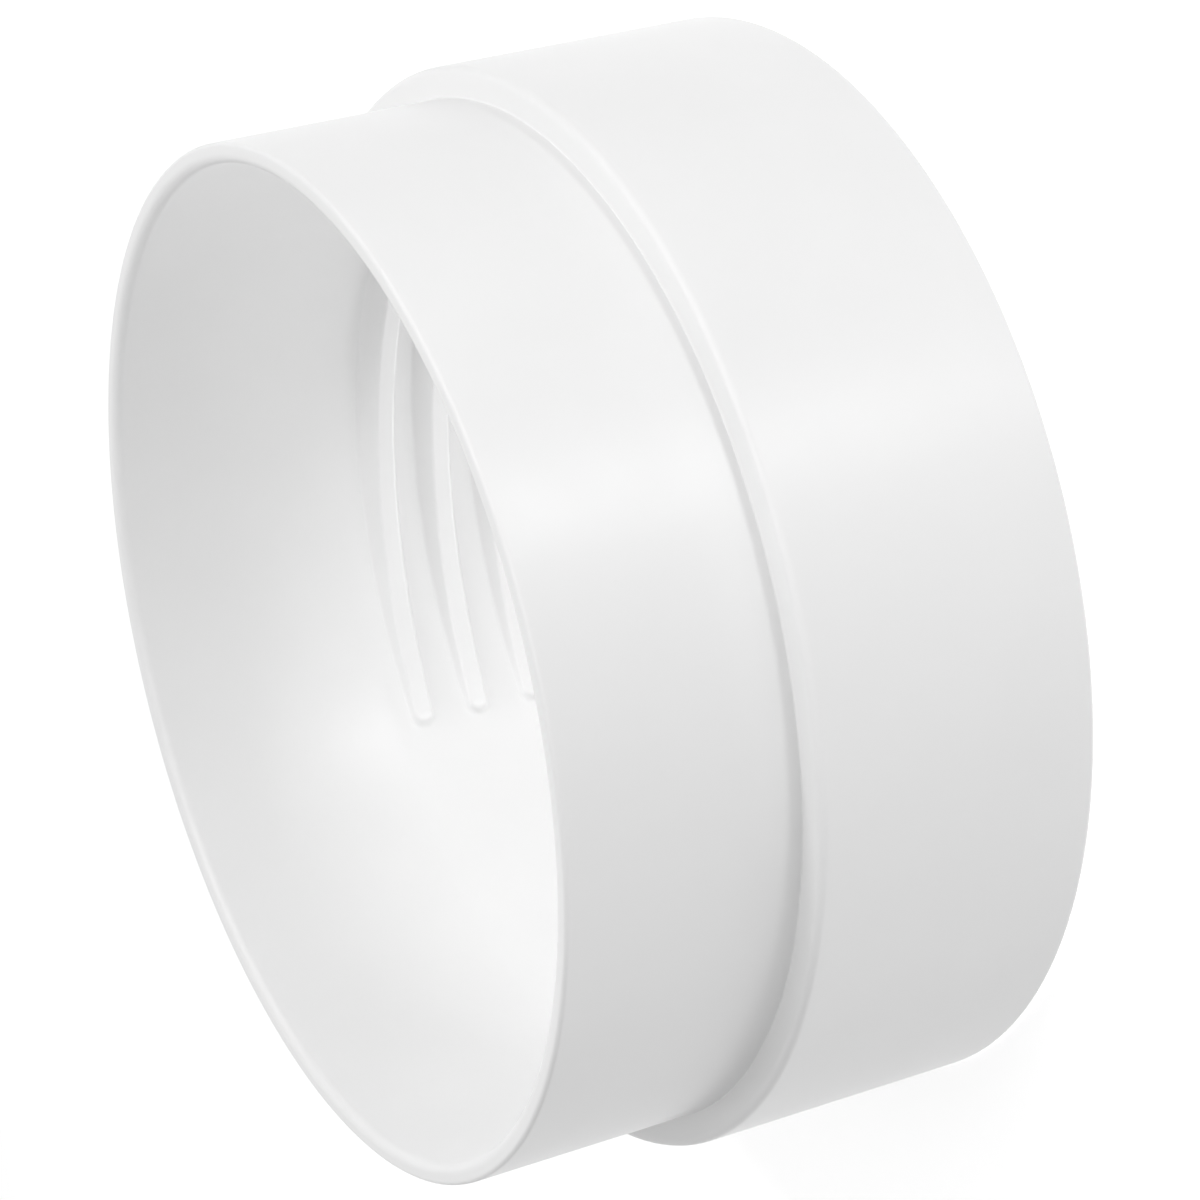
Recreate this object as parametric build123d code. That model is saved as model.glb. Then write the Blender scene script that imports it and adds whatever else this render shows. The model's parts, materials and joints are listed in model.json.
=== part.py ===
from build123d import *
import os
from math import asin, atan, copysign, cos, degrees, pi, radians, sin

# A dryer vent adapter: one moulded plastic tube with a narrow end, a square step and a wide end.
# It stands on the wide end, with its axis on Z and the narrow mouth on top.
# Sizes are in millimetres and angles in degrees.

# Tube
SPIGOT_DIAMETER = 107.0
HOSE_END_DIAMETER = 113.4
LENGTH = 55.5
SPIGOT_LENGTH = 25.0
WALL = 2.2

# Edges of the tube: a lead-in chamfer inside each mouth, a small break outside it, a round on the step
LEAD_IN = 0.7
EDGE_BREAK = 0.4
SHOULDER_ROUND = 0.8

# Broken right-hand thread inside the wide end, which grips the corrugations of a flexible hose.
# A rib is highest in the middle and sinks to its tips. Each flank runs out by a share of the rib's height.
THREAD_PITCH = 7.3
RIBS_PER_TURN = 2
RIB_ARC = 100.0
RIB_HEIGHT = 3.0
RIB_TIP_HEIGHT = 1.0
RIB_CREST_WIDTH = 2.0
RIB_FLANK_RUN = 0.5
RIB_ROOT_DEPTH = 0.8
FIRST_RIB_ANGLE = 55.0
FIRST_RIB_BELOW_TAPER = 4.7
LAST_RIB_ABOVE_RIM = 4.0

# Places that follow from the sizes above
spigot_radius = SPIGOT_DIAMETER / 2
hose_end_radius = HOSE_END_DIAMETER / 2
duct_bore_radius = spigot_radius - WALL
hose_bore_radius = hose_end_radius - WALL
step_height = LENGTH - SPIGOT_LENGTH

# The bore is straight in the narrower end and tapers in the wider one, from a wall's thickness past the step
narrowest_bore_radius = min(duct_bore_radius, hose_bore_radius)
taper_height = step_height - copysign(WALL, hose_end_radius - spigot_radius)


def stepped_tube():
    """The thin-walled tube and its step, turned from one section. Each corner has its round, or 0."""
    corners = {
        (hose_end_radius, EDGE_BREAK): 0,
        (hose_end_radius, step_height): SHOULDER_ROUND,
        (spigot_radius, step_height): 0,
        (spigot_radius, LENGTH - EDGE_BREAK): 0,
        (spigot_radius - EDGE_BREAK, LENGTH): 0,
        (duct_bore_radius + LEAD_IN, LENGTH): 0,
        (duct_bore_radius, LENGTH - LEAD_IN): 0,
        (narrowest_bore_radius, taper_height): 0,
        (hose_bore_radius, LEAD_IN): 0,
        (hose_bore_radius + LEAD_IN, 0): 0,
        (hose_end_radius - EDGE_BREAK, 0): 0,
    }
    outline = FilletPolyline(*corners.keys(), radius=corners.values(), close=True)
    return revolve(Plane.XZ * make_face(outline), Axis.Z)


def bore_radius(height):
    """Radius of the bore at a height between the taper's small end and the hose's mouth."""
    share = (taper_height - height) / (taper_height - LEAD_IN)
    return narrowest_bore_radius + (hose_bore_radius - narrowest_bore_radius) * share


def thread_rib(wall_radius):
    """One rib on a wall of this radius, its middle on +X, leaning at the thread's lead angle."""
    # the crest is an arc whose centre lies behind the axis, through the rib's middle and its tips
    middle = wall_radius - RIB_HEIGHT
    tip = wall_radius - RIB_TIP_HEIGHT
    half_arc = radians(RIB_ARC / 2)
    offset = (tip**2 - middle**2) / (2 * (middle - tip * cos(half_arc)))
    crest = middle + offset
    half_turn = degrees(asin(tip * sin(half_arc) / crest))
    root = wall_radius + RIB_ROOT_DEPTH
    root_half_width = RIB_CREST_WIDTH / 2 + (root + offset - crest) * RIB_FLANK_RUN
    points = [
        (root + offset, 0),
        (root + offset, root_half_width),
        (crest, RIB_CREST_WIDTH / 2),
        (crest, 0),
    ]
    upper = Plane.XZ * make_face(Polyline(*points, close=True))
    section = upper + mirror(upper, Plane.XY)
    ridge = Rot(Z=-half_turn) * revolve(section, Axis.Z, 2 * half_turn)
    start_tip = Rot(Z=-half_turn) * revolve(upper, Axis.X, 180)
    end_tip = mirror(start_tip, Plane.XZ)
    rib = Pos(X=-offset) * (ridge + start_tip + end_tip)
    lead_angle = degrees(atan(THREAD_PITCH / (2 * pi * wall_radius)))
    return Rot(X=lead_angle) * (rib & Cylinder(root, 4 * root_half_width))


def thread_ribs():
    """Every rib of the broken thread, from the taper's small end down to the open end."""
    drop = THREAD_PITCH / RIBS_PER_TURN
    first_height = taper_height - FIRST_RIB_BELOW_TAPER
    count = int((first_height - LAST_RIB_ABOVE_RIM) / drop) + 1
    ribs = []
    for index in range(count):
        height = first_height - index * drop
        angle = FIRST_RIB_ANGLE - index * 360 / RIBS_PER_TURN
        ribs.append(Pos(Z=height) * Rot(Z=angle) * thread_rib(bore_radius(height)))
    return ribs


adapter = stepped_tube() + thread_ribs()

os.makedirs("parts", exist_ok=True)
export_step(adapter, "parts/adapter_body.step")
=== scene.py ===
import json
import math

import bpy
import numpy as np
from mathutils import Euler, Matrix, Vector

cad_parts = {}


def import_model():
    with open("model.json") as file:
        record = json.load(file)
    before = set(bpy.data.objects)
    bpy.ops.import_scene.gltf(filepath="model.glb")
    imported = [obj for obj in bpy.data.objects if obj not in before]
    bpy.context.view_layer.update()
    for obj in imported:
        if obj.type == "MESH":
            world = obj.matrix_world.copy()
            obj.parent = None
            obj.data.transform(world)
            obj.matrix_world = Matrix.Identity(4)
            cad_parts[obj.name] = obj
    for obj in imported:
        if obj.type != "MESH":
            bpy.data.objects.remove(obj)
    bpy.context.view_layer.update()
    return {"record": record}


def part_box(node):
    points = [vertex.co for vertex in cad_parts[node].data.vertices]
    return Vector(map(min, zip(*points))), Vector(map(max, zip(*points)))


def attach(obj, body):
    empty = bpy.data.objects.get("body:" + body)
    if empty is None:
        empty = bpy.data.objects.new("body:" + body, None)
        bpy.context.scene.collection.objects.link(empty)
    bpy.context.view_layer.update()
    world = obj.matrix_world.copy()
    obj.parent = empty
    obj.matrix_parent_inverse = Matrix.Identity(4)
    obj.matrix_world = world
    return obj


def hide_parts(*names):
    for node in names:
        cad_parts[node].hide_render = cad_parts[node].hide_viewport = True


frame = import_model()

MM = 0.001

# Sizes of the tube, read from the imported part
mounts = {mount["name"]: mount for mount in frame["record"]["mounts"]}
spigot = mounts["spigot"]
highest_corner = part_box("adapter_body")[1]
LENGTH = highest_corner.z
HOSE_END_RADIUS = highest_corner.x
SPIGOT_RADIUS = spigot["dims"]["r_mm"] * MM
DUCT_BORE_RADIUS = mounts["duct_bore"]["dims"]["r_mm"] * MM
WALL = SPIGOT_RADIUS - DUCT_BORE_RADIUS
HOSE_BORE_RADIUS = HOSE_END_RADIUS - WALL
STEP_HEIGHT = spigot["pos_m"][2] - spigot["dims"]["length_mm"] * MM / 2
TAPER_HEIGHT = STEP_HEIGHT - WALL

# Rounding of the tube's edges. The taper of the wide bore reaches its full width where the lead-in starts.
LEAD_IN = 0.7 * MM
LEAD_IN_ROUND = 1.0 * MM
RIM_ROUND = 0.45 * MM
SHOULDER_ROUND = 0.8 * MM
STEP_FILLET = 0.15 * MM
TAPER_ROUND = 10.0 * MM

# Broken thread inside the wide end. A rib's crest is an arc set off the axis, so it sinks to its tips.
THREAD_PITCH = 7.3 * MM
RIBS_PER_TURN = 2
RIB_COUNT = 6
RIB_ARC = math.radians(100)
RIB_HEIGHT = 3.0 * MM
RIB_TIP_HEIGHT = 1.0 * MM
RIB_CREST_WIDTH = 2.0 * MM
RIB_FLANK_RUN = 0.5
RIB_CREST_ROUND = 0.25 * MM
RIB_FOOT_ROUND = 0.35 * MM
FIRST_RIB_ANGLE = math.radians(55)
FIRST_RIB_BELOW_TAPER = 4.7 * MM

# Fineness of the mesh: points along its section, and columns round the axis
ARC_STEPS = 6
EDGE_SUPPORT = 0.15 * MM
RIB_RING_SPACING = 0.15 * MM
TIP_ZONE = math.radians(4)
TIP_STEPS = 32
PLAIN_STEPS = 50

# The rings under the ribs lean with the thread, and lie level again near the ends of the taper
LEAN_MARGIN = 1.0 * MM
LEAN_RUN_OUT = 2.0 * MM
ON_WALL_TOLERANCE = 0.0001 * MM

# White plastic: colour and roughness each between two clouded values, and a fine mould grain.
# A scale is the number of spots in a metre.
PLASTIC_IOR = 1.49
COLOUR_DARKER = 0.845
COLOUR_LIGHTER = 0.865
COLOUR_CLOUD_SCALE = 45
COLOUR_CLOUD_LOW = 0.3
COLOUR_CLOUD_HIGH = 0.7
ROUGHNESS_LOW = 0.30
ROUGHNESS_HIGH = 0.42
ROUGHNESS_CLOUD_SCALE = 120
GRAIN_SCALE = 1500
GRAIN_HEIGHT = 0.05 * MM
GRAIN_STRENGTH = 0.05

# Camera, at the photograph's viewing angle. The adapter stands on its wide end, so the camera is rolled.
CAMERA_AIM = Vector((-0.1, -1.8, 23.8)) * MM
CAMERA_DISTANCE = 434.0 * MM
CAMERA_AZIMUTH = math.radians(6.13)
CAMERA_ELEVATION = math.radians(24.91)
CAMERA_ROLL = math.radians(-104.3)
CAMERA_LENS_MM = 126.2
CAMERA_CLIP_START = 10.0 * MM

# Floor. Its glow and the light that falls on it make it white outside the shadow.
FLOOR_HALF_WIDTH = 0.35
FLOOR_SHADE = 0.85
FLOOR_GLOW = 0.45

# Soft light from all round
WORLD_BRIGHT_SIDE = Vector((0, 0.95, 0.31))
WORLD_DARKEST = 0.09
WORLD_BRIGHTEST = 0.76

# Square lamps. In the photograph the adapter lies on its side, so here some of them are below the floor.
# Each has a name, its direction from the adapter, its width in metres and its power in watts.
LAMP_DISTANCE = 0.8
LAMPS = [
    ("key", (0.41, -0.84, -0.34), 0.12, 0.91),
    ("front", (0.0, -0.91, -0.42), 1.0, 3.62),
    ("mouth_front", (0.32, -0.56, 0.77), 0.6, 1.89),
    ("mouth_above", (0.39, -0.16, 0.91), 0.06, 0.53),
    ("mouth_side", (0.80, -0.14, 0.59), 0.6, 1.54),
    ("back_below", (0.0, 0.42, -0.91), 1.0, 6.0),
    ("left_below", (-0.37, 0.21, -0.91), 1.0, 4.31),
]


def rounded_loop(corners):
    """Points round a closed loop of straight runs with rounded corners. Each corner is (x, y, radius)."""
    points = []
    for index, (x, y, radius) in enumerate(corners):
        here = Vector((x, y))
        before = (Vector(corners[index - 1][:2]) - here).normalized()
        after = (Vector(corners[(index + 1) % len(corners)][:2]) - here).normalized()
        half_angle = before.angle(after) / 2
        reach = radius / math.tan(half_angle)
        centre = here + (before + after).normalized() * (radius / math.sin(half_angle))
        start = here + before * reach - centre
        end = here + after * reach - centre
        turn = start.angle_signed(end)
        points.append(here + before * (reach + EDGE_SUPPORT))
        for step in range(ARC_STEPS + 1):
            angle = -turn * step / ARC_STEPS
            cosine, sine = math.cos(angle), math.sin(angle)
            spoke = Vector((start.x * cosine - start.y * sine, start.x * sine + start.y * cosine))
            points.append(centre + spoke)
        points.append(here + after * (reach + EDGE_SUPPORT))
    return points


def tube_section():
    """The closed section of the tube as (radius, height) points, with close rings where the ribs are."""
    loop = rounded_loop([
        (HOSE_END_RADIUS, 0, RIM_ROUND),
        (HOSE_END_RADIUS, STEP_HEIGHT, SHOULDER_ROUND),
        (SPIGOT_RADIUS, STEP_HEIGHT, STEP_FILLET),
        (SPIGOT_RADIUS, LENGTH, RIM_ROUND),
        (DUCT_BORE_RADIUS, LENGTH, LEAD_IN_ROUND),
        (DUCT_BORE_RADIUS, TAPER_HEIGHT, TAPER_ROUND),
        (bore_radius(0), 0, LEAD_IN_ROUND),
    ])
    points = []
    for point, following in zip(loop, loop[1:] + loop[:1]):
        points.append(point)
        run = (following - point).length
        if point.y < TAPER_HEIGHT and point.x < HOSE_BORE_RADIUS and run > RIB_RING_SPACING:
            rings = math.ceil(run / RIB_RING_SPACING)
            points += [point.lerp(following, ring / rings) for ring in range(1, rings)]
    return np.array([(point.x, point.y) for point in points])


def column_angles():
    """Angles of the mesh's columns round the axis, close together at the tips of the ribs."""
    period = 2 * math.pi / RIBS_PER_TURN
    angles = []
    for group in range(RIBS_PER_TURN):
        start_tip = FIRST_RIB_ANGLE - RIB_ARC / 2 + group * period
        end_tip = start_tip + RIB_ARC
        next_tip = start_tip + period
        stops = [
            (start_tip - TIP_ZONE, start_tip + TIP_ZONE, TIP_STEPS),
            (start_tip + TIP_ZONE, end_tip - TIP_ZONE, PLAIN_STEPS),
            (end_tip - TIP_ZONE, end_tip + TIP_ZONE, TIP_STEPS),
            (end_tip + TIP_ZONE, next_tip - TIP_ZONE, PLAIN_STEPS),
        ]
        angles += [np.linspace(low, high, steps, endpoint=False) for low, high, steps in stops]
    return np.concatenate(angles)


def bore_radius(height):
    """Radius of the wide end's tapered bore at a height."""
    share = (TAPER_HEIGHT - height) / (TAPER_HEIGHT - LEAD_IN)
    return DUCT_BORE_RADIUS + (HOSE_BORE_RADIUS - DUCT_BORE_RADIUS) * share


def thread_lean(angle):
    """How far the thread has climbed from the nearest rib's middle. It falls back between the groups."""
    period = 2 * math.pi / RIBS_PER_TURN
    from_middle = (angle - FIRST_RIB_ANGLE + period / 2) % period - period / 2
    reach = RIB_ARC / 2 + TIP_ZONE
    back = np.sign(from_middle) * reach * (period / 2 - np.abs(from_middle)) / (period / 2 - reach)
    return THREAD_PITCH / (2 * math.pi) * np.where(np.abs(from_middle) < reach, from_middle, back)


def smaller(first, second, blend):
    """The smaller of two arrays, with a smooth passage where they differ by less than blend."""
    overlap = np.maximum(blend - np.abs(first - second), 0)
    return np.minimum(first, second) - overlap ** 2 / (4 * blend)


def rib_surface(angle, height):
    """Distance of the ribs' surface from the axis, at arrays of angles and heights."""
    nearest = np.full_like(angle, HOSE_END_RADIUS)
    for index in range(RIB_COUNT):
        turn = index / RIBS_PER_TURN
        from_middle = angle - FIRST_RIB_ANGLE + turn * 2 * math.pi
        from_middle = (from_middle + math.pi) % (2 * math.pi) - math.pi
        on_spine = np.clip(from_middle, -RIB_ARC / 2, RIB_ARC / 2)
        middle_height = TAPER_HEIGHT - FIRST_RIB_BELOW_TAPER - THREAD_PITCH * turn
        spine_height = middle_height + THREAD_PITCH * on_spine / (2 * math.pi)
        distance = np.hypot((from_middle - on_spine) * HOSE_BORE_RADIUS, height - spine_height)
        wall = bore_radius(middle_height)
        middle, tip = wall - RIB_HEIGHT, wall - RIB_TIP_HEIGHT
        offset = (tip ** 2 - middle ** 2) / (2 * (middle - tip * math.cos(RIB_ARC / 2)))
        sideways = offset * np.sin(on_spine)
        crest = np.sqrt((middle + offset) ** 2 - sideways ** 2) - offset * np.cos(on_spine)
        flank = crest + (distance - RIB_CREST_WIDTH / 2) / RIB_FLANK_RUN
        surface = -smaller(-crest, -flank, RIB_CREST_ROUND)
        nearest = np.minimum(nearest, surface)
    return nearest


def adapter_points():
    """Points of the surface by ring and column: the section turned round the axis, with the ribs raised."""
    section = tube_section()
    angles = column_angles()
    radius = np.repeat(section[:, :1], len(angles), axis=1)
    height = np.repeat(section[:, 1:], len(angles), axis=1)
    angle = np.repeat(angles[None, :], len(section), axis=0)
    on_taper = (np.abs(radius - bore_radius(height)) < ON_WALL_TOLERANCE) & (height < TAPER_HEIGHT)
    from_end = np.minimum(height - LEAD_IN, TAPER_HEIGHT - height) - LEAN_MARGIN
    lean = thread_lean(angle) * np.clip(from_end / LEAN_RUN_OUT, 0, 1)
    height = np.where(on_taper, height + lean, height)
    threaded = smaller(bore_radius(height), rib_surface(angle, height), RIB_FOOT_ROUND)
    radius = np.where(on_taper, threaded, radius)
    return np.stack([radius * np.cos(angle), radius * np.sin(angle), height], axis=-1)


def adapter_mesh():
    """The whole adapter as one closed mesh, whose rings and columns both join up with their first one."""
    points = adapter_points()
    rings, columns = points.shape[:2]
    index = np.arange(rings * columns).reshape(rings, columns)
    next_ring = np.roll(index, -1, axis=0)
    next_column = np.roll(index, -1, axis=1)
    next_both = np.roll(next_ring, -1, axis=1)
    faces = np.stack([index, next_column, next_both, next_ring], axis=-1)
    mesh = bpy.data.meshes.new("adapter")
    mesh.from_pydata(points.reshape(-1, 3).tolist(), [], faces.reshape(-1, 4).tolist())
    mesh.shade_smooth()
    return mesh


def grey(value):
    """A neutral colour."""
    return (value, value, value, 1)


def white_plastic():
    """Moulded white plastic: satin gloss, with faint clouding in colour and gloss and a fine mould grain."""
    material = bpy.data.materials.new("white_plastic")
    material.use_nodes = True
    nodes, links = material.node_tree.nodes, material.node_tree.links
    shader = nodes["Principled BSDF"]
    shader.inputs["IOR"].default_value = PLASTIC_IOR
    place = nodes.new("ShaderNodeTexCoord")

    def noise(scale, detail):
        node = nodes.new("ShaderNodeTexNoise")
        node.inputs["Scale"].default_value = scale
        node.inputs["Detail"].default_value = detail
        links.new(place.outputs["Object"], node.inputs["Vector"])
        return node.outputs["Fac"]

    colour = nodes.new("ShaderNodeValToRGB")
    darker, lighter = colour.color_ramp.elements
    darker.position = COLOUR_CLOUD_LOW
    darker.color = grey(COLOUR_DARKER)
    lighter.position = COLOUR_CLOUD_HIGH
    lighter.color = grey(COLOUR_LIGHTER)
    links.new(noise(COLOUR_CLOUD_SCALE, detail=3), colour.inputs["Fac"])
    links.new(colour.outputs["Color"], shader.inputs["Base Color"])

    roughness = nodes.new("ShaderNodeMapRange")
    roughness.inputs["To Min"].default_value = ROUGHNESS_LOW
    roughness.inputs["To Max"].default_value = ROUGHNESS_HIGH
    links.new(noise(ROUGHNESS_CLOUD_SCALE, detail=4), roughness.inputs["Value"])
    links.new(roughness.outputs["Result"], shader.inputs["Roughness"])

    grain = nodes.new("ShaderNodeBump")
    grain.inputs["Strength"].default_value = GRAIN_STRENGTH
    grain.inputs["Distance"].default_value = GRAIN_HEIGHT
    links.new(noise(GRAIN_SCALE, detail=2), grain.inputs["Height"])
    links.new(grain.outputs["Normal"], shader.inputs["Normal"])
    return material


def adapter_piece():
    """The shown adapter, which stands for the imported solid."""
    piece = bpy.data.objects.new("adapter", adapter_mesh())
    piece.data.materials.append(white_plastic())
    bpy.context.scene.collection.objects.link(piece)
    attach(piece, "root")
    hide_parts("adapter_body")


def camera():
    """The photograph's camera."""
    data = bpy.data.cameras.new("camera")
    data.lens = CAMERA_LENS_MM
    data.clip_start = CAMERA_CLIP_START
    eye = bpy.data.objects.new("camera", data)
    back = Vector((
        math.sin(CAMERA_AZIMUTH) * math.cos(CAMERA_ELEVATION),
        -math.cos(CAMERA_AZIMUTH) * math.cos(CAMERA_ELEVATION),
        math.sin(CAMERA_ELEVATION),
    ))
    level = back.to_track_quat("Z", "Y")
    eye.rotation_mode = "QUATERNION"
    eye.rotation_quaternion = level @ Euler((0, 0, CAMERA_ROLL)).to_quaternion()
    eye.location = CAMERA_AIM + back * CAMERA_DISTANCE
    bpy.context.scene.collection.objects.link(eye)
    bpy.context.scene.camera = eye


def larger(tree, first, second):
    """The larger of two values in a node tree."""
    node = tree.nodes.new("ShaderNodeMath")
    node.operation = "MAXIMUM"
    tree.links.new(first, node.inputs[0])
    tree.links.new(second, node.inputs[1])
    return node.outputs["Value"]


def seen_directly(tree):
    """One for rays that show what they reach: straight from the camera, by reflection or through glass."""
    rays = tree.nodes.new("ShaderNodeLightPath")
    seen = larger(tree, rays.outputs["Is Camera Ray"], rays.outputs["Is Glossy Ray"])
    return larger(tree, seen, rays.outputs["Is Transmission Ray"])


def floor_white():
    """Matt white that glows a little where it is seen."""
    material = bpy.data.materials.new("floor_white")
    material.use_nodes = True
    tree = material.node_tree
    shader = tree.nodes["Principled BSDF"]
    shader.inputs["Base Color"].default_value = grey(FLOOR_SHADE)
    shader.inputs["Roughness"].default_value = 1
    shader.inputs["Specular IOR Level"].default_value = 0
    shader.inputs["Emission Color"].default_value = grey(1)
    glow = tree.nodes.new("ShaderNodeMapRange")
    glow.inputs["To Max"].default_value = FLOOR_GLOW
    tree.links.new(seen_directly(tree), glow.inputs["Value"])
    tree.links.new(glow.outputs["Result"], shader.inputs["Emission Strength"])
    return material


def floor():
    """A plain floor that shows as white, keeps the shadow and lets the lamps below it shine through."""
    half = FLOOR_HALF_WIDTH
    corners = [(-half, -half, 0), (half, -half, 0), (half, half, 0), (-half, half, 0)]
    mesh = bpy.data.meshes.new("floor")
    mesh.from_pydata(corners, [], [(0, 1, 2, 3)])
    mesh.materials.append(floor_white())
    plane = bpy.data.objects.new("floor", mesh)
    plane.visible_shadow = False
    plane.visible_diffuse = False
    bpy.context.scene.collection.objects.link(plane)


def lamp(name, direction, width, power):
    """A soft square lamp that shines at the middle of the adapter from a direction."""
    data = bpy.data.lights.new(name, "AREA")
    data.size = width
    data.energy = power
    light = bpy.data.objects.new(name, data)
    away = Vector(direction).normalized()
    light.location = Vector((0, 0, LENGTH / 2)) + away * LAMP_DISTANCE
    light.rotation_mode = "QUATERNION"
    light.rotation_quaternion = away.to_track_quat("Z", "Y")
    bpy.context.scene.collection.objects.link(light)


def world():
    """Soft light all round, brighter behind and above the adapter. The world itself shows as white."""
    sky = bpy.data.worlds.new("studio")
    sky.use_nodes = True
    tree = sky.node_tree
    background = tree.nodes["Background"]
    background.inputs["Color"].default_value = grey(1)
    place = tree.nodes.new("ShaderNodeTexCoord")
    towards = tree.nodes.new("ShaderNodeVectorMath")
    towards.operation = "DOT_PRODUCT"
    towards.inputs[1].default_value = WORLD_BRIGHT_SIDE.normalized()
    tree.links.new(place.outputs["Generated"], towards.inputs[0])
    strength = tree.nodes.new("ShaderNodeMapRange")
    strength.inputs["From Min"].default_value = -1
    strength.inputs["To Min"].default_value = WORLD_DARKEST
    strength.inputs["To Max"].default_value = WORLD_BRIGHTEST
    tree.links.new(towards.outputs["Value"], strength.inputs["Value"])
    shown = larger(tree, strength.outputs["Result"], seen_directly(tree))
    tree.links.new(shown, background.inputs["Strength"])
    bpy.context.scene.world = sky


adapter_piece()
camera()
floor()
for name, direction, width, power in LAMPS:
    lamp(name, direction, width, power)
world()
bpy.context.scene.view_settings.view_transform = "Standard"
